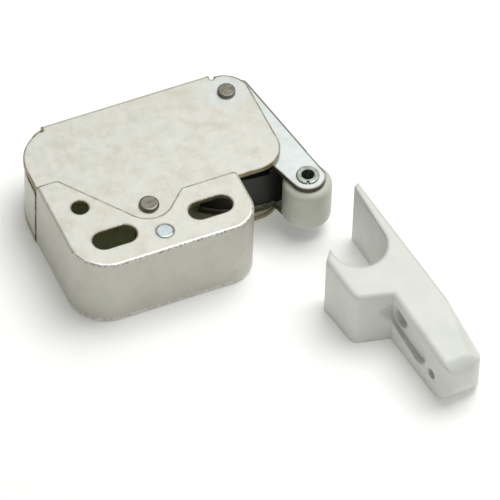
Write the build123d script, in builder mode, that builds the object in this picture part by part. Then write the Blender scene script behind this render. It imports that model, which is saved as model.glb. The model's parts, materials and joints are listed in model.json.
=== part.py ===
from build123d import *
from math import atan2, cos, degrees, hypot, radians, sin, tan
import os

os.makedirs("parts", exist_ok=True)

# Push to open catch: a sprung latch with a swinging roller arm, and its moulded keeper.
# Millimetres. The origin lies midway between the two mounting slots, on the mounting face.
# X runs along the slots, Y towards the back of the latch, Z up from the mounting face.

# ---------------------------------------------------------------- driving dimensions
sheet = 0.8                     # steel sheet of the case, the housing and the arm
case_height = 13.4              # over the folded case
bend_radius = 0.55              # outside radius of the case's folds
edge_break = 0.12               # stamped edges round the slots and holes
rivet_fit = 0.02                # radial clearance of shanks and pins in their holes
reach = 60.0                    # longer than anything here, for cuts that run right through

# mounting case
slot_spacing = 16.0             # centre to centre
slot_width = 3.6
slot_length = 7.2
case_front_reach = 5.5          # slot line to the front wall
case_left_margin = 7.4          # left slot to the left wall
case_right_margin = 6.65        # right slot to the right wall
case_left_depth = 13.8          # slot line to the back of the left flank
case_right_depth = 5.2          # slot line to the back of the right flank
case_front_left_radius = 6.3
case_front_right_radius = 4.8
case_corner_round = 0.8
right_wall_end = 0.5            # the right wall stops this far in front of the slot line
unfolded_inset = 0.05           # the right edges behind the wall stand this far inside it
notch_radius = 4.05             # case notch round the follower rivet
notch_behind = 0.8              # its centre lies this far behind the rivet
notch_left_angle = 53.0         # flanks of the notch, from the X direction
notch_right_angle = 44.0
spare_hole_diameter = 2.75
spare_hole_left = 2.7           # from the left slot's centre
spare_hole_back = 7.5           # from the slot line

# rivets on the case's centre line
rivet_line = -0.4               # X of the case rivet and of the follower rivet
case_rivet_front = 1.8          # slot line to the case rivet
case_rivet_diameter = 2.7
case_spacer_wall = 0.9
follower_rivet_back = 4.5       # slot line to the follower rivet
follower_rivet_shank = 2.0
follower_rivet_head = 3.2
follower_sleeve_wall = 0.5      # wall of the stepped sleeve's thin, upper end
follower_sleeve_shoulder = 0.6  # extra wall of its lower end, which carries the follower
rivet_head_height = 0.65
rivet_head_round = 0.4

# mechanism housing
housing_back = 25.9             # slot line to the back wall
plate_inset = 0.9               # back wall to the plates' edges beside the fold
housing_front = 4.85            # slot line to the cover's front edge
base_lead = 0.3                 # the base plate reaches this much further to the front
housing_left_inset = 0.15       # case's left wall to the cover's left edge
housing_back_left_radius = 6.85
housing_front_right_radius = 4.6
housing_back_right_radius = 4.1
housing_bend_radius = 0.7
fold_left_margin = 5.15         # cover's left edge to the back fold
fold_right_margin = 4.6         # cover's right edge to the back fold
relief_width = 0.7              # notches at both ends of the back fold
relief_depth = 1.3
tongue_lap = 1.0                # how far the plates reach under the case, past its notch
finger_half_width = 2.4         # finger that reaches on to the case rivet
finger_end = 2.3                # case rivet to the finger's end
step_gap = 0.15                 # housing plates to the case's left wall
side_wall_tight_radius = 2.6    # the side wall's first bend, beside the back fold
side_wall_tight_angle = 40.0
side_wall_wide_radius = 10.9    # its second bend, on to the left side
side_wall_bow = 3.0             # degrees by which it has sprung open at its end
side_wall_gap = 0.35            # side wall to the cover and to the base plate
side_wall_bottom = 0.3          # its lower edge, over the mounting face

# arm and its pivot
pivot_offset = 5.15             # case's right wall to the arm rivet
pivot_back = 21.35              # slot line to the arm rivet
cover_reach = 3.62              # arm rivet to the cover's right edge
arm_rivet_shank = 2.2
arm_rivet_head = 2.85
arm_rivet_round = 0.22          # a flatter head than the follower rivet's
arm_sleeve_diameter = 4.0
washer_thickness = 0.28
washer_rim = 1.0
arm_length = 20.4               # arm rivet to roller pin
arm_angle = -74.8               # from the X direction, with the arm out
arm_hub_clearance = 0.2         # hub to the back wall
arm_heel = 0.8                  # how far the web starts behind the arm rivet
arm_web_offset = 4.7            # arm rivet to the outer face of the web
arm_web_taper = 4.9             # degrees between the web and the line of the two holes
arm_leaf_inset = 0.3            # past the web's end the leaves stand this far inside its face
arm_tip_radius = 2.8
arm_bend_radius = 0.7
side_play = 0.05                # flat clearance between stacked moving pieces
pivot_fit = 0.05                # radial running clearance on the arm sleeve
swing = 17.0                    # degrees that the arm swings in

# roller and its pin
roller_diameter = 7.75
roller_end_play = 0.1
roller_top_round = 1.1
roller_bottom_round = 0.6
roller_fit = 0.06
roller_gap = 0.45               # roller to the web's end and to the cam block
pin_diameter = 2.9
pin_bore = 2.0
pin_head_diameter = 3.65
pin_head_height = 0.3
pin_head_round = 0.2
pin_nick_width = 0.3            # nick in the rolled rim of its head
pin_nick_depth = 0.5
pin_nick_angle = -112.0         # from the X direction

# cam block and its pin
cam_radius = 15.7
cam_inner_radius = 4.0
cam_sweep = 53.0                # degrees of the block, from the arm's line towards the case
skirt_lead = 0.45               # the lower leaf reaches this much further than the block
cam_fit = 0.03                  # block to leaves and web
cam_pin_diameter = 1.6
cam_pin_along = 7.2             # from the arm rivet
cam_pin_out = 0.4               # from the arm's line
cam_step = 9.2                  # where the block's full height ends, from the arm rivet
neck_rise = 14.9                # where the neck is full height again
neck_half_width = 2.6
leg_pocket_length = 6.0         # pocket for the return spring's leg
leg_pocket_side = 1.7
track_radius = 11.5             # arm rivet to the follower's tip
track_angle = -86.5             # from the X direction, with the arm out
track_depth = 2.2
track_play = 0.2                # tip to the walls of its track
track_notch = 0.3               # resting notch in the track's island

# cam follower
follower_ratio = 0.12           # degrees that the follower swings for each of the arm's
follower_thickness = 0.8
follower_width = 1.7
follower_hub_rim = 0.9
follower_tip_diameter = 0.8
follower_gap = 0.15             # follower to the leaf above and the cam block below
follower_fit = 0.05

# springs
return_wire = 0.7
return_coils = 5.0
return_pitch = 0.78
return_wall_leg = 8.0           # rests along the back wall
return_arm_leg = 5.0            # lies in the block's pocket, along the web
spring_play = 0.25              # coils to the sleeve inside them
follower_wire = 0.35
follower_coils = 2.0

# keeper, along and across its back face from the blade's tip
keeper_x = 31.3
keeper_y = -3.6
keeper_angle = -80.6            # direction of the back face, from the X direction
keeper_height = 12.7            # at the blade's tip
keeper_taper = 5.4              # degrees that its upper face falls along the length
keeper_length = 37.0
keeper_blade_tip = 0.85
keeper_blade_root = 1.64
keeper_blade_lean = 0.3         # how far back the blade's end face slopes
keeper_stem_width = 6.75        # beside the jaw
keeper_end_width = 7.3          # at the end
keeper_jaw_width = 12.3
keeper_jaw_front = 18.0         # at its outer corner
keeper_jaw_slope = 2.2          # the jaw's front face reaches this much further at the stem
keeper_end_slope = 0.7          # the end reaches this much further at the back face
keeper_recess_along = 9.53
keeper_recess_radius = 4.5
keeper_nose_reach = 1.1         # beyond the recess's centre, at its tip
keeper_nose_slope = 0.4         # and how far its outer corner lies behind that centre
keeper_soft_edge = 0.8          # upper edges of the jaw and of the stem's inner face
keeper_jaw_radius = 1.6
keeper_inner_end_radius = 2.0   # corners of the end, seen from above
keeper_outer_end_radius = 3.2
keeper_end_upper_round = 2.7    # the end's rounded nose, seen from the side
keeper_end_lower_round = 4.3
keeper_shoulder = 0.1           # height of the faint step where the nose's rounding begins
keeper_back_round_start = 25.0  # the back's upper edge is rounded from here on, more and more
keeper_back_round_end = 38.0
keeper_back_round_least = 0.04  # radius of that rounding at its start
keeper_back_round_most = 4.5    # and at its end
keeper_hole_diameter = 1.8
keeper_hole_depth = 3.2
keeper_hole_along = 31.9
keeper_hole_height = 4.0
keeper_screw_diameter = 3.2
keeper_screw_along = 21.9
keeper_screw_height = 6.4
keeper_hollow_width = 4.9       # hollow for the screw's head and its driver, along the stem
keeper_hollow_end = 27.5        # centre of its far end; the near one is round the screw
keeper_hollow_end_height = 5.25
keeper_hollow_depth = 1.1       # into the stem
keeper_hollow_reach = 3.0       # out from the stem's face, through the jaw

# ---------------------------------------------------------------- levels and places
slot_x = slot_spacing / 2
case_left = -slot_x - case_left_margin
case_right = slot_x + case_right_margin
case_front = -case_front_reach
unfolded_right = case_right - unfolded_inset

cover_top = case_height - sheet
cover_under = cover_top - sheet
base_under = sheet
base_top = base_under + sheet

pivot_x = case_right + pivot_offset
leaf_top = cover_under - washer_thickness - side_play
leaf_bottom = base_top + washer_thickness + side_play
channel_top = leaf_top - sheet
channel_bottom = leaf_bottom + sheet
follower_top = channel_top - follower_gap
follower_bottom = follower_top - follower_thickness
track_face = follower_bottom - follower_gap
track_floor = track_face - track_depth

cover_left = case_left + housing_left_inset
cover_right = pivot_x + cover_reach
fold_left = cover_left + fold_left_margin
fold_right = cover_right - fold_right_margin
plate_back = housing_back - plate_inset
back_wall_face = housing_back - sheet

roller_radius = roller_diameter / 2
tip_radius = follower_tip_diameter / 2


def turned(along, angle):
    """The plan vector of a length at an angle from the X direction."""
    return along * cos(radians(angle)), along * sin(radians(angle))


def placed(x, y, angle, level):
    """A level plane whose own X direction stands at an angle from the model's."""
    return Plane(origin=(x, y, level), x_dir=(*turned(1, angle), 0), z_dir=(0, 0, 1))


def arm_plane(level):
    """Plan of the arm: X along it from the arm rivet to the roller, Y out through its web."""
    return placed(pivot_x, pivot_back, arm_angle, level)


def rounded(corners):
    """Closed outline through corners, each given as x, y and radius."""
    radii = [corner[2] for corner in corners]
    FilletPolyline(*[corner[:2] for corner in corners], radius=radii, close=True)


def disc(x, y, diameter, bottom, top, mode=Mode.ADD):
    """Round solid between two levels, added to the open part or cut from it."""
    with Locations((x, y, bottom)):
        Cylinder(diameter / 2, top - bottom, align=(Align.CENTER, Align.CENTER, Align.MIN), mode=mode)


def finish(part, name):
    """Label a finished piece and write it to its file."""
    part.label = name
    export_step(part, f"parts/{name}.step")


# ---------------------------------------------------------------- mounting case
notch_centre = follower_rivet_back + notch_behind


def flank_x(radius, angle, side, depth):
    """X where a flank of the notch reaches a depth; side is -1 on the left and 1 on the right."""
    drop = radius / cos(radians(angle))
    return rivet_line + side * (depth - notch_centre + drop) / tan(radians(angle))


def notch_bottom(radius):
    """Where the two flanks of a notch meet, before the bottom is rounded about the rivet."""
    left_drop = radius / cos(radians(notch_left_angle))
    right_drop = radius / cos(radians(notch_right_angle))
    left_slope, right_slope = tan(radians(notch_left_angle)), tan(radians(notch_right_angle))
    shift = (right_drop - left_drop) / (left_slope + right_slope)
    return rivet_line + shift, notch_centre - left_drop - left_slope * shift


with BuildPart() as mounting_case:
    with BuildSketch():
        with BuildLine():
            rounded([
                (case_left, case_left_depth, 0),
                (case_left, case_front, case_front_left_radius),
                (case_right, case_front, case_front_right_radius),
                (case_right, -right_wall_end, 0),
                (unfolded_right, -right_wall_end, 0),
                (unfolded_right, case_right_depth, case_corner_round),
                (flank_x(notch_radius, notch_right_angle, 1, case_right_depth), case_right_depth,
                 case_corner_round),
                (*notch_bottom(notch_radius), notch_radius),
                (flank_x(notch_radius, notch_left_angle, -1, case_left_depth), case_left_depth,
                 case_corner_round),
            ])
        make_face()
    extrude(amount=case_height)
    # folds along the walls; the fillet runs on round both front corners
    front_edges = edges().filter_by(Axis.X).filter_by_position(Axis.Y, case_front, case_front + edge_break)
    fillet(front_edges, bend_radius)
    # the hollow between the two plates, open at the back and along the unfolded right side
    with BuildSketch(Plane.XY.offset(base_under)):
        with BuildLine():
            rounded([
                (case_left + sheet, reach, 0),
                (case_left + sheet, case_front + sheet, case_front_left_radius - sheet),
                (case_right - sheet, case_front + sheet, case_front_right_radius - sheet),
                (case_right - sheet, -right_wall_end, 0),
                (reach, -right_wall_end, 0),
                (reach, reach, 0),
            ])
        make_face()
    extrude(amount=cover_top - base_under, mode=Mode.SUBTRACT)
    with BuildSketch():
        with Locations((-slot_x, 0), (slot_x, 0)):
            SlotOverall(slot_length, slot_width)
        with Locations((-slot_x - spare_hole_left, spare_hole_back)):
            Circle(spare_hole_diameter / 2)
        with Locations((rivet_line, -case_rivet_front)):
            Circle(case_rivet_diameter / 2 + rivet_fit)
    extrude(amount=case_height, mode=Mode.SUBTRACT)
    top_holes = faces().sort_by(Axis.Z)[-1].inner_wires().edges()
    chamfer(top_holes, edge_break)

# ---------------------------------------------------------------- mechanism housing
inner_left = case_left + sheet + step_gap
tongue_radius = notch_radius + tongue_lap
left_lap = case_left_depth - tongue_lap
finger_length = follower_rivet_back + case_rivet_front + finger_end
wall_centre = housing_back - sheet / 2


def plate_corners(front):
    """Corners of the cover or of the base plate, whose front edge lies at a given place."""
    return [
        (cover_left, case_left_depth + step_gap, 0),
        (inner_left, case_left_depth + step_gap, 0),
        (inner_left, left_lap, 0),
        (flank_x(tongue_radius, notch_left_angle, -1, left_lap), left_lap, 0),
        (*notch_bottom(tongue_radius), tongue_radius),
        (flank_x(tongue_radius, notch_right_angle, 1, front), front, case_corner_round),
        (cover_right, front, housing_front_right_radius),
        (cover_right, plate_back, housing_back_right_radius),
        (cover_left, plate_back, housing_back_left_radius),
    ]


def fold_strip(front):
    """Plan of the back fold between its two relief notches, from a given place to the back."""
    with Locations(((fold_left + fold_right) / 2, housing_back)):
        Rectangle(fold_right - fold_left, housing_back - front, align=(Align.CENTER, Align.MAX))


with BuildPart() as mechanism_housing:
    for level, front in (base_under, housing_front - base_lead), (cover_under, housing_front):
        with BuildSketch(Plane.XY.offset(level)):
            with BuildLine():
                rounded(plate_corners(front))
            make_face()
            with Locations((rivet_line, follower_rivet_back)):
                Rectangle(2 * finger_half_width, finger_length, align=(Align.CENTER, Align.MAX))
            fold_strip(plate_back - relief_depth)
        extrude(amount=sheet)
    with BuildSketch(Plane.XY.offset(base_under)):
        fold_strip(back_wall_face)
    extrude(amount=cover_top - base_under)
    level_edges = edges().filter_by(Axis.X)
    folds = level_edges.filter_by_position(Axis.Y, housing_back - edge_break, housing_back)
    fillet(folds, housing_bend_radius)
    # relief notches beside the fold
    with BuildSketch():
        with Locations((fold_left, housing_back), (fold_right, housing_back)):
            Rectangle(relief_width, 2 * relief_depth)
    extrude(amount=case_height, mode=Mode.SUBTRACT)
    # side wall, bent by hand round the back left corner and sprung a little open at its end
    with BuildLine() as side_wall_line:
        tight = JernArc(
            start=(fold_left + relief_width, wall_centre), tangent=(-1, 0),
            radius=side_wall_tight_radius, arc_size=side_wall_tight_angle,
        )
        wide = JernArc(
            start=tight @ 1, tangent=tight % 1, radius=side_wall_wide_radius,
            arc_size=90 - side_wall_bow - side_wall_tight_angle,
        )
        run = (wide @ 1).Y - case_left_depth - step_gap
        Line(wide @ 1, wide @ 1 + wide % 1 * run / cos(radians(side_wall_bow)))
    # the base plate ends inside the side wall
    with BuildSketch():
        with BuildLine():
            add(side_wall_line.line)
            Polyline(
                side_wall_line.line @ 1, (-reach, (side_wall_line.line @ 1).Y), (-reach, reach),
                ((side_wall_line.line @ 0).X, reach), side_wall_line.line @ 0,
            )
        make_face()
        trace(side_wall_line.edges(), line_width=sheet + 2 * side_wall_gap)
    extrude(amount=base_top, mode=Mode.SUBTRACT)
    with BuildSketch(Plane.XY.offset(side_wall_bottom)):
        trace(side_wall_line.edges(), line_width=sheet)
    extrude(amount=cover_under - side_wall_gap - side_wall_bottom)
    # rivet holes through both plates
    disc(rivet_line, -case_rivet_front, case_rivet_diameter + 2 * rivet_fit, 0, cover_top, Mode.SUBTRACT)
    disc(rivet_line, follower_rivet_back, follower_rivet_shank + 2 * rivet_fit, 0, cover_top, Mode.SUBTRACT)
    disc(pivot_x, pivot_back, arm_rivet_shank + 2 * rivet_fit, 0, cover_top, Mode.SUBTRACT)

# ---------------------------------------------------------------- rivets and their spacers
with BuildPart() as case_rivet:
    disc(rivet_line, -case_rivet_front, case_rivet_diameter, 0, case_height)
    chamfer(edges().group_by(Axis.Z)[0] + edges().group_by(Axis.Z)[-1], edge_break)

with BuildPart() as case_rivet_spacer:
    spacer_bore = case_rivet_diameter + 2 * rivet_fit
    disc(rivet_line, -case_rivet_front, spacer_bore + 2 * case_spacer_wall, base_top, cover_under)
    disc(rivet_line, -case_rivet_front, spacer_bore, base_top, cover_under, Mode.SUBTRACT)

head_under, head_over = base_under - rivet_head_height, cover_top + rivet_head_height
with BuildPart() as follower_rivet:
    disc(rivet_line, follower_rivet_back, follower_rivet_head, head_under, base_under)
    disc(rivet_line, follower_rivet_back, follower_rivet_head, cover_top, head_over)
    fillet(edges().group_by(Axis.Z)[0] + edges().group_by(Axis.Z)[-1], rivet_head_round)
    disc(rivet_line, follower_rivet_back, follower_rivet_shank, base_under, cover_top)

sleeve_bore = follower_rivet_shank + 2 * rivet_fit
follower_journal = sleeve_bore + 2 * follower_sleeve_wall
with BuildPart() as follower_sleeve:
    disc(rivet_line, follower_rivet_back, follower_journal + 2 * follower_sleeve_shoulder,
         base_top, follower_bottom - side_play)
    disc(rivet_line, follower_rivet_back, follower_journal, base_top, cover_under)
    disc(rivet_line, follower_rivet_back, sleeve_bore, base_top, cover_under, Mode.SUBTRACT)

with BuildPart() as arm_rivet:
    disc(pivot_x, pivot_back, arm_rivet_head, head_under, base_under)
    disc(pivot_x, pivot_back, arm_rivet_head, cover_top, head_over)
    fillet(edges().group_by(Axis.Z)[0] + edges().group_by(Axis.Z)[-1], arm_rivet_round)
    disc(pivot_x, pivot_back, arm_rivet_shank, base_under, cover_top)

with BuildPart() as arm_sleeve:
    disc(pivot_x, pivot_back, arm_sleeve_diameter, base_top, cover_under)
    disc(pivot_x, pivot_back, arm_rivet_shank + 2 * rivet_fit, base_top, cover_under, Mode.SUBTRACT)

washer_bore = arm_sleeve_diameter + 2 * rivet_fit
with BuildPart() as arm_washer_top:
    disc(pivot_x, pivot_back, washer_bore + 2 * washer_rim, leaf_top + side_play, cover_under)
    disc(pivot_x, pivot_back, washer_bore, leaf_top + side_play, cover_under, Mode.SUBTRACT)

with BuildPart() as arm_washer_bottom:
    disc(pivot_x, pivot_back, washer_bore + 2 * washer_rim, base_top, leaf_bottom - side_play)
    disc(pivot_x, pivot_back, washer_bore, base_top, leaf_bottom - side_play, Mode.SUBTRACT)

# ---------------------------------------------------------------- arm, roller and pin
hub_radius = back_wall_face - pivot_back - arm_hub_clearance
web_end = arm_length - roller_radius - roller_gap
pin_x, pin_y = pivot_x + turned(arm_length, arm_angle)[0], pivot_back + turned(arm_length, arm_angle)[1]
pin_bottom, pin_top = leaf_bottom - pin_head_height, leaf_top + pin_head_height


def web_out(along, depth=0.0):
    """How far out the web's outer face stands at a place along the arm, less a depth into it."""
    taper = radians(arm_web_taper)
    return arm_web_offset - along * tan(taper) - depth / cos(taper)


def arm_hole(x, y, diameter):
    """Round hole through both leaves of the open part, given in the arm's own plan."""
    with Locations(arm_plane(leaf_bottom)):
        with Locations((x, y, 0)):
            Cylinder(diameter / 2, leaf_top - leaf_bottom,
                     align=(Align.CENTER, Align.CENTER, Align.MIN), mode=Mode.SUBTRACT)


with BuildPart() as roller_arm:
    with BuildSketch(arm_plane(leaf_bottom)):
        Circle(hub_radius)
        with Locations((arm_length, 0)):
            Circle(arm_tip_radius)
        with BuildLine():
            Polyline(
                (-arm_heel, web_out(-arm_heel)), (web_end, web_out(web_end)),
                (web_end, web_out(web_end, arm_leaf_inset)), (arm_length, arm_tip_radius),
                (arm_length, -arm_tip_radius), (0, -hub_radius), turned(hub_radius, 135),
                close=True,
            )
        make_face()
    extrude(amount=leaf_top - leaf_bottom)
    fold_direction = Axis((0, 0, 0), (*turned(1, arm_angle - arm_web_taper), 0))
    fillet(edges().filter_by(fold_direction), arm_bend_radius)
    # the channel between the leaves; past the web's end it is open on both sides
    with BuildSketch(arm_plane(channel_bottom)):
        with BuildLine():
            Polyline(
                (-reach, -reach), (reach, -reach), (reach, reach), (web_end, reach),
                (web_end, web_out(web_end, sheet)), (-reach, web_out(-reach, sheet)), close=True,
            )
        make_face()
    extrude(amount=channel_top - channel_bottom, mode=Mode.SUBTRACT)
    # the lower leaf spreads out under the cam block
    with BuildSketch(arm_plane(leaf_bottom)):
        Circle(cam_radius + skirt_lead)
        with BuildLine():
            Polyline((0, 0), turned(reach, -cam_sweep), (reach, -reach), (reach, 0), close=True)
        make_face(mode=Mode.INTERSECT)
    extrude(amount=sheet)
    arm_hole(0, 0, arm_sleeve_diameter + 2 * pivot_fit)
    arm_hole(arm_length, 0, pin_diameter + 2 * rivet_fit)
    arm_hole(cam_pin_along, cam_pin_out, cam_pin_diameter + 2 * rivet_fit)

with BuildPart() as roller_pin:
    disc(pin_x, pin_y, pin_head_diameter, pin_bottom, leaf_bottom)
    disc(pin_x, pin_y, pin_head_diameter, leaf_top, pin_top)
    fillet(edges().group_by(Axis.Z)[0] + edges().group_by(Axis.Z)[-1], pin_head_round)
    disc(pin_x, pin_y, pin_diameter, leaf_bottom, leaf_top)
    disc(pin_x, pin_y, pin_bore, pin_bottom, pin_top, Mode.SUBTRACT)
    with BuildSketch(placed(pin_x, pin_y, pin_nick_angle, leaf_top)):
        with Locations((pin_head_diameter / 2 - pin_nick_depth, 0)):
            Rectangle(pin_head_diameter, pin_nick_width, align=(Align.MIN, Align.CENTER))
    extrude(amount=pin_head_height, mode=Mode.SUBTRACT)

roller_bottom, roller_top = channel_bottom + roller_end_play, channel_top - roller_end_play
with BuildPart() as roller:
    disc(pin_x, pin_y, roller_diameter, roller_bottom, roller_top)
    fillet(edges().group_by(Axis.Z)[0], roller_bottom_round)
    fillet(edges().group_by(Axis.Z)[-1], roller_top_round)
    disc(pin_x, pin_y, pin_diameter + 2 * roller_fit, roller_bottom, roller_top, Mode.SUBTRACT)

# ---------------------------------------------------------------- cam block and follower
block_bottom, block_top = channel_bottom + cam_fit, channel_top - cam_fit
tip_x = pivot_x + turned(track_radius, track_angle)[0]
tip_y = pivot_back + turned(track_radius, track_angle)[1]
follower_length = hypot(tip_x - rivet_line, tip_y - follower_rivet_back)
follower_angle = degrees(atan2(tip_y - follower_rivet_back, tip_x - rivet_line))


def tip_in_block(inward):
    """Follower's tip in the arm's plan when the arm has swung in by an angle."""
    reach_x, reach_y = turned(follower_length, follower_angle - follower_ratio * inward)
    x, y = rivet_line + reach_x - pivot_x, follower_rivet_back + reach_y - pivot_back
    return turned(hypot(x, y), degrees(atan2(y, x)) - arm_angle + inward)


track_start = tip_in_block(0)
track_near = tip_in_block(swing)
far_radius = 2 * track_radius - hypot(*track_near)
track_far = turned(far_radius, degrees(atan2(track_near[1], track_near[0])))
lane = tip_radius + track_play

with BuildPart() as cam_block:
    with BuildSketch(arm_plane(block_bottom)):
        Circle(cam_radius)
        with BuildLine():
            Polyline(
                (0, 0), turned(reach, -cam_sweep), (reach, -reach),
                (reach, web_out(reach, sheet + cam_fit)), (0, web_out(0, sheet + cam_fit)), close=True,
            )
        make_face(mode=Mode.INTERSECT)
        with BuildLine():
            Polyline(
                (cam_step, -neck_half_width), (web_end, -neck_half_width),
                (web_end, web_out(web_end, sheet + cam_fit)),
                (cam_step, web_out(cam_step, sheet + cam_fit)), close=True,
            )
        make_face()
        Circle(cam_inner_radius, mode=Mode.SUBTRACT)
        with Locations((0, leg_pocket_side)):
            Rectangle(leg_pocket_length, reach, align=(Align.MIN, Align.MIN), mode=Mode.SUBTRACT)
        with Locations((cam_pin_along, cam_pin_out)):
            Circle(cam_pin_diameter / 2 + rivet_fit, mode=Mode.SUBTRACT)
    extrude(amount=block_top - block_bottom)
    # lowered face that the follower lies over, between the hub side and the neck's end
    with BuildSketch(arm_plane(track_face)):
        with BuildLine():
            Polyline(
                (cam_step, reach), (neck_rise, reach), (neck_rise, -neck_half_width - follower_width / 2),
                (reach, -neck_half_width - follower_width / 2), (reach, -reach), (cam_step, -reach),
                close=True,
            )
        make_face()
    extrude(amount=block_top - track_face, mode=Mode.SUBTRACT)
    # heart-shaped track: a pocket round three places of the tip, with an island between its lanes
    with BuildSketch(arm_plane(track_floor)):
        with Locations(track_start, track_near, track_far):
            Circle(lane)
        make_hull()
        with BuildLine() as island:
            Polyline(track_start, track_near, track_far, close=True)
        with BuildSketch(mode=Mode.PRIVATE) as island_face:
            make_face(island.edges())
            offset(amount=-lane)
            with Locations(((track_near[0] + track_far[0]) / 2, track_near[1] - lane)):
                Circle(track_notch, mode=Mode.SUBTRACT)
        add(island_face.sketch, mode=Mode.SUBTRACT)
    extrude(amount=track_depth, mode=Mode.SUBTRACT)

with BuildPart() as cam_block_pin:
    with BuildSketch(arm_plane(leaf_bottom)):
        with Locations((cam_pin_along, cam_pin_out)):
            Circle(cam_pin_diameter / 2)
    extrude(amount=leaf_top - leaf_bottom)

with BuildPart() as cam_follower:
    with BuildSketch(placed(rivet_line, follower_rivet_back, follower_angle, follower_bottom)):
        Circle(follower_journal / 2 + follower_fit + follower_hub_rim)
        with Locations((follower_length / 2, 0)):
            SlotCenterToCenter(follower_length, follower_width)
        Circle(follower_journal / 2 + follower_fit, mode=Mode.SUBTRACT)
    extrude(amount=follower_thickness)
    disc(tip_x, tip_y, follower_tip_diameter, track_floor + track_play, follower_bottom)

# ---------------------------------------------------------------- springs
with BuildPart() as return_spring:
    coil_radius = arm_sleeve_diameter / 2 + spring_play + return_wire / 2
    arm_leg_angle = arm_angle + 90
    coil_height = (return_coils + (90 - arm_leg_angle) / 360) * return_pitch
    coil_bottom = (channel_bottom + channel_top - coil_height) / 2
    coil_place = Location((pivot_x, pivot_back, coil_bottom), (0, 0, arm_leg_angle))
    coil = coil_place * Helix(return_pitch, coil_height, coil_radius, mode=Mode.PRIVATE)
    leg_start = coil @ 0 - coil % 0 * return_arm_leg
    with BuildLine() as return_path:
        Line(leg_start, coil @ 0)
        add(coil)
        Line(coil @ 1, coil @ 1 + coil % 1 * return_wall_leg)
    with BuildSketch(Plane(origin=leg_start, z_dir=coil % 0)):
        Circle(return_wire / 2)
    sweep(path=return_path.wires()[0])

with BuildPart() as follower_spring:
    coil_radius = follower_journal / 2 + spring_play + follower_wire / 2
    coil_height = cover_under - follower_top - follower_wire - 2 * side_play
    coil_place = Location((rivet_line, follower_rivet_back, follower_top + side_play + follower_wire / 2))
    coil = coil_place * Helix(coil_height / follower_coils, coil_height, coil_radius, mode=Mode.PRIVATE)
    with BuildSketch(Plane(origin=coil @ 0, z_dir=coil % 0)):
        Circle(follower_wire / 2)
    sweep(path=coil)

# ---------------------------------------------------------------- keeper
keeper_plane = placed(keeper_x, keeper_y, keeper_angle, 0)
recess_across = -keeper_blade_root - keeper_recess_radius
nose_across = recess_across - keeper_recess_radius
jaw_root = (keeper_jaw_front + keeper_jaw_slope, -keeper_stem_width)
outer_corner = (keeper_length, 0)
inner_corner = (keeper_length - keeper_end_slope, -keeper_end_width)

# the upper face, which falls towards the end
top_along = (*turned(cos(radians(keeper_taper)), keeper_angle), -sin(radians(keeper_taper)))
top_normal = (*turned(sin(radians(keeper_taper)), keeper_angle), cos(radians(keeper_taper)))
keeper_top = Plane(origin=(keeper_x, keeper_y, keeper_height), x_dir=top_along, z_dir=top_normal)

# side view of the end, looking along its end face: X out of the end, Y up
end_angle = keeper_angle - degrees(atan2(keeper_end_slope, keeper_end_width))
end_view = Plane(
    origin=keeper_plane.from_local_coords((keeper_length, 0, 0)),
    x_dir=(*turned(1, end_angle), 0), z_dir=(*turned(1, end_angle - 90), 0),
)
taper_rise = tan(radians(keeper_taper))
end_top = keeper_height - keeper_length * taper_rise + keeper_shoulder

# side view of the stem's inner face: X along the keeper, Y up
stem_view = Plane(
    origin=keeper_plane.from_local_coords((0, -keeper_end_width, 0)),
    x_dir=keeper_plane.x_dir, z_dir=-keeper_plane.y_dir,
)
screw_place = (keeper_screw_along, keeper_screw_height)

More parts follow.
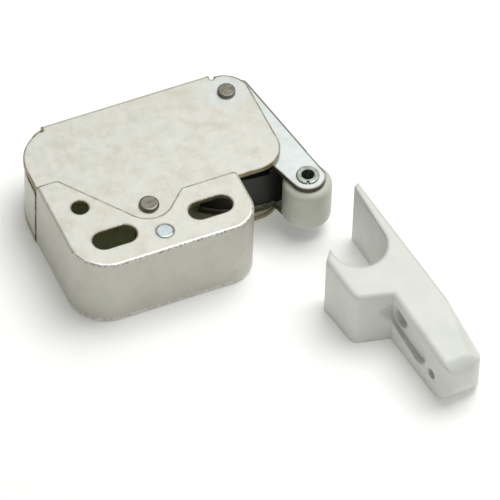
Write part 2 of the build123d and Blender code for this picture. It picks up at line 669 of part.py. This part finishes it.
with BuildPart() as keeper:
    with BuildSketch(keeper_plane):
        with BuildLine():
            Polyline(
                (0, 0), (keeper_blade_lean, -keeper_blade_tip), (keeper_recess_along, -keeper_blade_root),
                (keeper_recess_along, nose_across), (keeper_recess_along - keeper_nose_reach, nose_across),
                (keeper_recess_along + keeper_nose_slope, -keeper_jaw_width),
                (keeper_jaw_front, -keeper_jaw_width), jaw_root, inner_corner, outer_corner, close=True,
            )
        make_face()
        fillet(vertices().sort_by_distance((keeper_jaw_front, -keeper_jaw_width))[0], keeper_jaw_radius)
    extrude(amount=keeper_height)
    split(bisect_by=keeper_top, keep=Keep.BOTTOM)
    # soft upper edges of the jaw and of the stem's inner face
    soft_edges = [
        edge for edge in faces().sort_by(Axis.Z)[-1].edges()
        if keeper_plane.to_local_coords(edge.center()).Y < -keeper_end_width / 2 - edge_break
        and keeper_plane.to_local_coords(edge.center()).X > keeper_recess_along + edge_break
    ]
    fillet(soft_edges, keeper_soft_edge)
    # rounded corners of the end
    with BuildSketch(keeper_plane):
        with BuildLine():
            Polyline(
                (-reach, 0), outer_corner, inner_corner, jaw_root, (jaw_root[0], -reach), (-reach, -reach),
                close=True,
            )
        make_face()
        fillet(vertices().sort_by_distance(outer_corner)[0], keeper_outer_end_radius)
        fillet(vertices().sort_by_distance(inner_corner)[0], keeper_inner_end_radius)
    extrude(amount=keeper_height, mode=Mode.INTERSECT)
    # the nose at the end
    with BuildSketch(end_view):
        with BuildLine():
            Polyline((0, 0), (0, end_top), (-reach, end_top + reach * taper_rise), (-reach, 0), close=True)
        make_face()
        fillet(vertices().sort_by_distance((0, 0))[0], keeper_end_lower_round)
        fillet(vertices().sort_by_distance((0, end_top))[0], keeper_end_upper_round)
    extrude(amount=reach, mode=Mode.INTERSECT)
    # the back's upper edge
    for along, radius in (
        (keeper_back_round_start, keeper_back_round_least), (keeper_back_round_end, keeper_back_round_most),
    ):
        with BuildSketch(Plane(
            origin=keeper_top.from_local_coords((along / cos(radians(keeper_taper)), 0, 0)),
            x_dir=keeper_plane.y_dir, z_dir=top_along,
        )):
            with Locations((-radius, -radius)):
                Rectangle(2 * radius, 2 * radius, align=(Align.MIN, Align.MIN))
                Circle(radius, mode=Mode.SUBTRACT)
    loft(mode=Mode.SUBTRACT)
    # recess that takes the roller
    with BuildSketch(keeper_plane):
        with Locations((keeper_recess_along, recess_across)):
            Circle(keeper_recess_radius)
    extrude(amount=keeper_height, mode=Mode.SUBTRACT)
    # hollow beside the jaw, the screw hole in it, and the small blind hole near the end
    with BuildSketch(stem_view.offset(keeper_hollow_reach)):
        with Locations(screw_place, (keeper_hollow_end, keeper_hollow_end_height)):
            Circle(keeper_hollow_width / 2)
        make_hull()
    extrude(amount=-keeper_hollow_reach - keeper_hollow_depth, mode=Mode.SUBTRACT)
    with BuildSketch(stem_view):
        with Locations(screw_place):
            Circle(keeper_screw_diameter / 2)
    extrude(amount=-keeper_end_width, mode=Mode.SUBTRACT)
    with BuildSketch(stem_view):
        with Locations((keeper_hole_along, keeper_hole_height)):
            Circle(keeper_hole_diameter / 2)
    extrude(amount=-keeper_hole_depth, mode=Mode.SUBTRACT)

for name, piece in {
    "mounting_case": mounting_case, "mechanism_housing": mechanism_housing, "case_rivet": case_rivet,
    "case_rivet_spacer": case_rivet_spacer, "follower_rivet": follower_rivet,
    "follower_sleeve": follower_sleeve, "arm_rivet": arm_rivet, "arm_sleeve": arm_sleeve,
    "arm_washer_top": arm_washer_top, "arm_washer_bottom": arm_washer_bottom, "roller_arm": roller_arm,
    "roller_pin": roller_pin, "roller": roller, "cam_block": cam_block, "cam_block_pin": cam_block_pin,
    "cam_follower": cam_follower, "return_spring": return_spring, "follower_spring": follower_spring,
    "keeper": keeper,
}.items():
    finish(piece.part, name)
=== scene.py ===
import json
from math import cos, radians, sin

import bmesh
import bpy
from mathutils import Matrix, Vector


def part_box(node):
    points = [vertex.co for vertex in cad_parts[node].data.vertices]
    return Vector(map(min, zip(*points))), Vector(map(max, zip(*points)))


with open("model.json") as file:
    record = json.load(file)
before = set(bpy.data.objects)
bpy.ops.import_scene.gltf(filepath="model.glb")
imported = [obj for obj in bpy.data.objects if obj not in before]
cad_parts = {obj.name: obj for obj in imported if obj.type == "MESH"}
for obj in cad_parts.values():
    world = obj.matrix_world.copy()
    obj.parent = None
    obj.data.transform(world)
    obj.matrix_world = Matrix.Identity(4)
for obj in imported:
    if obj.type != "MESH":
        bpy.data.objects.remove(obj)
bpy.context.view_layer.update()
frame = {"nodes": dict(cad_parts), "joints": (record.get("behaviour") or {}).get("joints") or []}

# Push to open catch: finishes, lights and camera for the latch and its moulded keeper.
# Metres, in the part's own frame: X along the mounting slots, Y to the latch's back, Z up.
MM = 0.001
SHEET = 0.8 * MM                # thickness of the folded strip
FRONT_LEFT_RADIUS = 6.3 * MM    # outside of the case's front corners, seen from above
FRONT_RIGHT_RADIUS = 4.8 * MM
BASE_LIFT = 0.5 * MM            # the housing's base plate above the housing's lowest point
SLACK = 0.02 * MM               # how far a cut edge's mask runs past the sheet's faces
FAR = 10.0                      # past every place, in metres, and every part of a direction


# ---------------------------------------------------------------- places taken from the frame
def spot(name):
    """Lowest and highest corner of a CAD node, as vectors."""
    low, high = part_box(name)
    return Vector(low), Vector(high)


case_low, case_high = spot("mounting_case")
housing_low, housing_high = spot("mechanism_housing")
arm_low, arm_high = spot("roller_arm")
pivot = Vector(next(joint for joint in frame["joints"] if joint["name"] == "arm_swing")["pos_m"])


# ---------------------------------------------------------------- material helpers
def colour(hex_value):
    """A hex colour as the eye reads it, turned to the linear values a shader works in."""
    channels = [int(hex_value[i:i + 2], 16) / 255 for i in (0, 2, 4)]
    linear = [c / 12.92 if c <= 0.04045 else ((c + 0.055) / 1.055) ** 2.4 for c in channels]
    return (*linear, 1.0)


class Finish:
    """A material under construction: its node tree, and one way to add a node to it."""

    def __init__(self, name):
        self.material = bpy.data.materials.new(name)
        self.material.use_nodes = True
        self.tree = self.material.node_tree
        self.tree.nodes.clear()
        self.place = self.add("TexCoord")["Object"]

    def add(self, kind, links=None, **settings):
        """Adds a node and gives its outputs. Settings are the node's own fields, and links are its
        inputs, each a value or another node's output."""
        node = self.tree.nodes.new("ShaderNode" + kind)
        for field, value in settings.items():
            setattr(node, field, value)
        for key, value in (links or {}).items():
            if isinstance(value, bpy.types.NodeSocket):
                self.tree.links.new(value, node.inputs[key])
            else:
                node.inputs[key].default_value = value
        return node.outputs

    def patches(self, size, low=0.0, high=1.0, start=0.0, end=1.0, detail=3.0, roughness=0.55,
                stretch=(1, 1, 1)):
        """Soft blotches about one size across, in metres. Noise from low to high runs from start to end."""
        moved = self.add("Mapping", {"Vector": self.place, "Scale": stretch})[0]
        links = {"Vector": moved, "Scale": 1 / size, "Detail": detail, "Roughness": roughness}
        blotch = self.add("TexNoise", links)["Fac"]
        links = {"Value": blotch, "From Min": low, "From Max": high, "To Min": start, "To Max": end}
        return self.add("MapRange", links, clamp=True)[0]

    def layer(self, under, over, mask, strength=1.0):
        """One colour laid over another where a mask is 1, as strongly as the strength says."""
        amount = self.add("Math", {0: mask, 1: strength}, operation="MULTIPLY")[0]
        return self.add("Mix", {0: amount, 6: under, 7: over}, data_type="RGBA")[2]

    def painted_edge_shade(self, width):
        """1 along a piece's own sharp edges, falling to 0 about a width in from them: where shade is
        painted.
        """
        links = {"Distance": width}
        depth = self.add("AmbientOcclusion", links, samples=12, inside=True, only_local=True)["AO"]
        return self.add("MapRange", {"Value": depth, "From Min": 0.93, "From Max": 0.62}, clamp=True)[0]

    def relief(self, size, detail, depth, strength, edge_width):
        """The face's direction, rounded off along sharp edges and made uneven by fine grain."""
        rounded = self.add("Bevel", {"Radius": edge_width}, samples=6)[0]
        grain = self.patches(size, detail=detail)
        links = {"Height": grain, "Distance": depth, "Strength": strength, "Normal": rounded}
        return self.add("Bump", links)[0]

    def close(self, **inputs):
        """Ends the material in one shader."""
        shader = self.add("BsdfPrincipled", {key.replace("_", " "): value for key, value in inputs.items()})
        self.add("OutputMaterial", {"Surface": shader[0]})
        return self.material


def axis_parts(f):
    """The place and the face's direction, each split into X, Y and Z."""
    place = f.add("SeparateXYZ", {0: f.place})
    facing = f.add("SeparateXYZ", {0: f.add("NewGeometry")["Normal"]})
    return place, facing


# ---------------------------------------------------------------- finishes
def plated_steel(name, shades, cut_edges=None, cut_shade="A3946C", inside=None, pressed=None,
                 folds=None, fold_shade_and_glint=("8E8670", "FFFFFF"), fold_strength=0.6):
    """Bright nickel-plated strip: nearly white where it faces the light, with faint tarnish stains.
    Painted shade greys its upright walls and draws a thin brownish line along its edges."""
    f = Finish(name)
    clean, warm, cool = shades
    stain = f.patches(3.4 * MM, low=0.46, high=0.66, detail=8, roughness=0.72)
    green = f.patches(2.6 * MM, low=0.5, high=0.68, detail=7, roughness=0.68)
    base = f.layer(colour(clean), colour(warm), stain, 0.5)
    base = f.layer(base, colour(cool), green, 0.4)

    # painted shade: upright walls are a little greyer than the flats
    flatness = f.add("Math", {0: axis_parts(f)[1][2]}, operation="ABSOLUTE")[0]
    wall = f.add("Math", {0: 1.0, 1: flatness}, operation="SUBTRACT", use_clamp=True)[0]
    base = f.layer(base, colour("AFAEA2"), wall, 0.55)
    specks = f.patches(0.35 * MM, low=0.6, high=0.74, detail=2)
    base = f.layer(base, colour("A39C8A"), specks, 0.2)

    metal = 0.5
    if pressed is not None:
        base = f.layer(base, colour("D9DEDE"), pressed(f))
    if inside is not None:
        # painted light: inner faces are lightened with a pale green and made less metallic, standing in for
        # light bounced inside
        inner = inside(f)
        base = f.layer(base, colour("EEF1D6"), inner)
        metal = f.add("MapRange", {"Value": inner, "To Min": 0.5, "To Max": 0.1}, clamp=True)[0]
    if cut_edges is not None:
        base = f.layer(base, colour(cut_shade), cut_edges(f))
    if folds is not None:
        # painted highlight and painted shade: white specks and a brownish tone along the bends, over the
        # crackled plating
        crackle = f.patches(0.36 * MM, low=0.38, high=0.54, detail=2)
        folded = f.layer(colour(fold_shade_and_glint[0]), colour(fold_shade_and_glint[1]), crackle)
        base = f.layer(base, folded, folds(f), fold_strength)
    uneven = f.patches(1.1 * MM, low=0.32, high=0.6, start=0.5, end=1.0, detail=4)
    # painted shade: a thin dark brownish line along sharp edges, broken up unevenly
    base = f.layer(base, colour("6A5F44"), f.painted_edge_shade(0.42 * MM), uneven)

    rough = f.patches(1.6 * MM, low=0.3, high=0.7, start=0.34, end=0.46, detail=4)
    relief = f.relief(0.3 * MM, detail=3, depth=0.012 * MM, strength=0.6, edge_width=0.12 * MM)
    return f.close(Base_Color=base, Metallic=metal, Roughness=rough, Normal=relief)


def turned_steel(name, shade, dark, rough):
    """Plain steel of rivet heads, dulled and mottled by the press that closed them."""
    f = Finish(name)
    base = f.layer(colour(shade), colour(dark), f.patches(0.7 * MM, low=0.35, high=0.7, detail=4))
    # painted shade: a dark rim along the rivet heads' edges
    base = f.layer(base, colour("4A4235"), f.painted_edge_shade(0.2 * MM), 0.7)
    relief = f.relief(0.4 * MM, detail=3, depth=0.02 * MM, strength=0.7, edge_width=0.15 * MM)
    return f.close(Base_Color=base, Metallic=0.9, Roughness=rough, Normal=relief)


def moulded_nylon(name, shade, tint, glow, rough, edge_width):
    """Unpainted nylon: matt and a little translucent, so that its shaded sides stay soft."""
    f = Finish(name)
    base = f.layer(colour(shade), colour(tint), f.patches(4 * MM, low=0.35, high=0.7))
    relief = f.relief(0.35 * MM, detail=3, depth=0.01 * MM, strength=0.5, edge_width=edge_width)
    return f.close(
        Base_Color=base, Roughness=rough, Normal=relief, Subsurface_Weight=glow,
        Subsurface_Radius=(1.0, 1.0, 0.9), Subsurface_Scale=0.8 * MM, IOR=1.53,
    )


def black_acetal(name):
    """Black moulded acetal: a deep, slightly warm black with a soft sheen."""
    f = Finish(name)
    base = f.layer(colour("171714"), colour("21211D"), f.patches(1.2 * MM))
    rough = f.patches(1.2 * MM, low=0.3, high=0.7, start=0.34, end=0.5)
    grain = f.patches(0.3 * MM, detail=2)
    relief = f.add("Bump", {"Height": grain, "Distance": 0.01 * MM, "Strength": 0.5})[0]
    return f.close(Base_Color=base, Roughness=rough, Normal=relief, IOR=1.48)


def spring_wire(name):
    """Hard-drawn spring wire: grey steel with fine lines along it."""
    f = Finish(name)
    drawn = f.patches(0.2 * MM, detail=2, stretch=(1, 1, 4))
    base = f.layer(colour("8C8B84"), colour("A5A49C"), drawn)
    return f.close(Base_Color=base, Metallic=0.95, Roughness=0.34)


def bench_top(name):
    """Plain white bench that the parts lie on."""
    f = Finish(name)
    base = f.layer(colour("FEFEFE"), colour("FBFBFB"), f.patches(60 * MM, detail=2))
    return f.close(Base_Color=base, Roughness=0.8, Emission_Color=colour("FFFFFF"), Emission_Strength=0.13)


# ---------------------------------------------------------------- where each finish changes
def within(f, *limits):
    """1 where every value lies between its two limits."""
    whole = 1.0
    for value, low, high in limits:
        above = f.add("Math", {0: value, 1: low}, operation="GREATER_THAN")[0]
        below = f.add("Math", {0: value, 1: high}, operation="LESS_THAN")[0]
        between = f.add("Math", {0: above, 1: below}, operation="MULTIPLY")[0]
        whole = f.add("Math", {0: whole, 1: between}, operation="MULTIPLY")[0]
    return whole


def any_of(f, *masks):
    """1 where at least one mask is 1."""
    whole = 0.0
    for mask in masks:
        whole = f.add("Math", {0: whole, 1: mask}, operation="MAXIMUM")[0]
    return whole


def cut_sheets(f, levels):
    """1 on the upright edges of the sheets whose lower faces lie at the given levels."""
    place, facing = axis_parts(f)
    bands = [within(f, (place[2], level - SLACK, level + SHEET + SLACK)) for level in levels]
    return within(f, (any_of(f, *bands), 0.5, FAR), (facing[2], -0.5, 0.5))


def case_edges(f):
    """Cut edges of the case's two plates, without the outer faces of its folded walls."""
    limits = [(cut_sheets(f, (case_low.z, case_high.z - SHEET)), 0.5, FAR)]
    corners = (
        (FRONT_LEFT_RADIUS, case_low.x + FRONT_LEFT_RADIUS, -1, 0.1 * MM),
        (FRONT_RIGHT_RADIUS, case_high.x - FRONT_RIGHT_RADIUS, 1, 0.02 * MM),
    )
    for radius, centre_x, side, margin in corners:
        centre = (centre_x, case_low.y + radius, 0)
        away = f.add("VectorMath", {0: f.place, 1: centre}, operation="SUBTRACT")[0]
        outward = f.add("VectorMath", {0: away, 1: (side, -1, 0)}, operation="MULTIPLY")[0]
        past = f.add("VectorMath", {0: outward, 1: (0, 0, 0)}, operation="MAXIMUM")[0]
        reach = f.add("VectorMath", {0: past}, operation="LENGTH")["Value"]
        limits.append((reach, -FAR, radius - margin))
    return within(f, *limits)


def housing_edges(f):
    """Cut edges of the cover and the base plate, all but the fold at the back."""
    sheets = cut_sheets(f, (housing_low.z + BASE_LIFT, housing_high.z - SHEET))
    place, _ = axis_parts(f)
    return within(f, (sheets, 0.5, FAR), (place[1], -FAR, housing_high.y - 0.5 * MM))


def arm_edge_shade_mask(f):
    """Cut edges of the arm's two leaves, darkened with painted shade."""
    return cut_sheets(f, (arm_low.z, arm_high.z - SHEET))


def inner_faces(f, low, high, inward, floor, ceiling):
    """1 on a folded piece's inner faces: flats between a floor and a ceiling, its left wall's inner
    face, and faces whose Y direction is inward."""
    place, facing = axis_parts(f)
    turned_in = any_of(
        f,
        within(f, (place[0], -FAR, (low.x + high.x) / 2), (facing[0], 0.4, FAR)),
        within(f, (facing[1], *inward)),
        within(f, (facing[2], 0.6, FAR)),
        within(f, (facing[2], -FAR, -0.6)),
    )
    return within(f, (turned_in, 0.5, FAR), (place[2], low.z + floor, high.z - ceiling))


def case_inner_light_mask(f):
    """The case's inner faces, which painted light makes lighter, a little green and less metallic."""
    return inner_faces(f, case_low, case_high, (0.4, FAR), 0.5 * SHEET, 0.8 * SHEET)


def housing_inner_light_mask(f):
    """The housing's inner faces, the base plate's upper face and the walls behind the cover, which painted
    light makes lighter.
    """
    return inner_faces(f, housing_low, housing_high, (-FAR, -0.4), 0.4 * SHEET, 0.6 * SHEET)


def case_fold_light_mask(f):
    """The case's two front folds, where the crackled plating is drawn with painted highlight specks and
    painted shade.
    """
    place, facing = axis_parts(f)
    upper = within(f, (facing[2], 0.35, 0.97), (place[2], case_high.z - 1.0 * MM, FAR))
    lower = within(f, (place[2], case_low.z + 0.45 * MM, case_low.z + 0.8 * MM))
    return within(f, (any_of(f, upper, lower), 0.5, FAR), (facing[1], -FAR, -0.1))


def arm_fold_shade_mask(f):
    """The arm's fold from its upper leaf to its web, darkened with painted shade."""
    _, facing = axis_parts(f)
    return within(f, (facing[2], 0.1, 0.97))


def pressed_ring(f):
    """The flat that the press left round the arm's pivot, with a soft edge."""
    level = f.add("VectorMath", {0: f.place, 1: (1, 1, 0)}, operation="MULTIPLY")[0]
    centre = (pivot.x, pivot.y, 0)
    away = f.add("VectorMath", {0: level, 1: centre}, operation="DISTANCE")["Value"]
    links = {"Value": away, "From Min": 2.2 * MM, "From Max": 4.2 * MM, "To Min": 0.75, "To Max": 0.0}
    return f.add("MapRange", links, clamp=True)[0]


# ---------------------------------------------------------------- dress the CAD pieces
def dress(material, *names):
    """Gives all of some CAD pieces one material."""
    for name in names:
        for slot in frame["nodes"][name].material_slots:
            slot.material = material


IVORY = ("DADAD2", "C9BDA8", "C6CDBF")
SILVER = ("DEE4E4", "CFCEC6", "C8D1CF")

dress(plated_steel("nickel_plated_case", IVORY, case_edges, inside=case_inner_light_mask, folds=case_fold_light_mask),
      "mounting_case")
dress(plated_steel("nickel_plated_housing", IVORY, housing_edges, inside=housing_inner_light_mask,
                   pressed=pressed_ring),
      "mechanism_housing")
# painted shade: the arm's cut edges and its fold are darkened
dress(plated_steel("nickel_plated_arm", SILVER, arm_edge_shade_mask, "514C3E", folds=arm_fold_shade_mask,
                   fold_shade_and_glint=("3B382E", "6B6654"), fold_strength=0.85),
      "roller_arm")
dress(plated_steel("nickel_plated_follower", SILVER), "cam_follower")
dress(turned_steel("bright_zinc_rivet", "E0EAEC", "C2D2D4", rough=0.3),
      "case_rivet", "case_rivet_spacer", "arm_washer_top", "arm_washer_bottom")
dress(turned_steel("rolled_steel_pin", "BCC4BA", "8C958B", rough=0.32), "roller_pin")
dress(turned_steel("dull_steel_rivet", "918E82", "6C6960", rough=0.42),
      "follower_rivet", "follower_sleeve", "arm_rivet", "arm_sleeve", "cam_block_pin")
dress(moulded_nylon("natural_nylon_roller", "D4D4CA", "C9C9BE", glow=0.5, rough=0.45, edge_width=0.25 * MM),
      "roller")
dress(moulded_nylon("white_nylon_keeper", "E4E6E0", "DCDFD8", glow=0.25, rough=0.4, edge_width=0.9 * MM),
      "keeper")
dress(black_acetal("black_acetal_cam"), "cam_block")
dress(spring_wire("spring_steel_wire"), "return_spring", "follower_spring")


# ---------------------------------------------------------------- bench, light and camera
def bench():
    """A plain floor, far wider than the parts."""
    mesh = bpy.data.meshes.new("bench")
    shape = bmesh.new()
    bmesh.ops.create_grid(shape, x_segments=1, y_segments=1, size=3.0)
    shape.to_mesh(mesh)
    shape.free()
    floor = bpy.data.objects.new("bench", mesh)
    bpy.context.scene.collection.objects.link(floor)
    mesh.materials.append(bench_top("white_bench"))


def lights():
    """One large soft lamp above and to the right, and an even, slightly warm room."""
    place = Vector((0.32, 0.12, 0.95))
    lamp = bpy.data.lights.new("key", "AREA")
    lamp.shape = "SQUARE"
    lamp.size = 0.7
    lamp.energy = 7.8
    lamp_object = bpy.data.objects.new("key", lamp)
    bpy.context.scene.collection.objects.link(lamp_object)
    turned = (-place).to_track_quat("-Z", "Y").to_matrix().to_4x4()
    lamp_object.matrix_world = Matrix.Translation(place) @ turned

    world = bpy.data.worlds.new("studio")
    world.use_nodes = True
    room = world.node_tree.nodes["Background"]
    room.inputs["Color"].default_value = colour("F8F9F0")
    room.inputs["Strength"].default_value = 0.32
    bpy.context.scene.world = world
    bpy.context.scene.view_settings.view_transform = "Standard"


def camera():
    """Long lens, looking down at the front left of the latch."""
    turn = radians(24.9)
    drop = radians(50.0)
    roll = radians(2.1)
    distance = 1076.9 * MM
    to_the_right = 13.42 * MM
    downwards = 4.346 * MM
    ahead = Vector((sin(turn) * cos(drop), cos(turn) * cos(drop), -sin(drop)))
    level = Vector((cos(turn), -sin(turn), 0))
    rise = level.cross(ahead)
    right = cos(roll) * level + sin(roll) * rise
    up = -sin(roll) * level + cos(roll) * rise
    aim = Vector((0, 0, case_high.z)) + right * to_the_right - up * downwards
    eye = bpy.data.cameras.new("camera")
    eye.lens = 504
    eye.sensor_width = 36
    eye_object = bpy.data.objects.new("camera", eye)
    bpy.context.scene.collection.objects.link(eye_object)
    turned = Matrix((right, up, -ahead)).transposed().to_4x4()
    eye_object.matrix_world = Matrix.Translation(aim - ahead * distance) @ turned
    bpy.context.scene.camera = eye_object


bench()
lights()
camera()
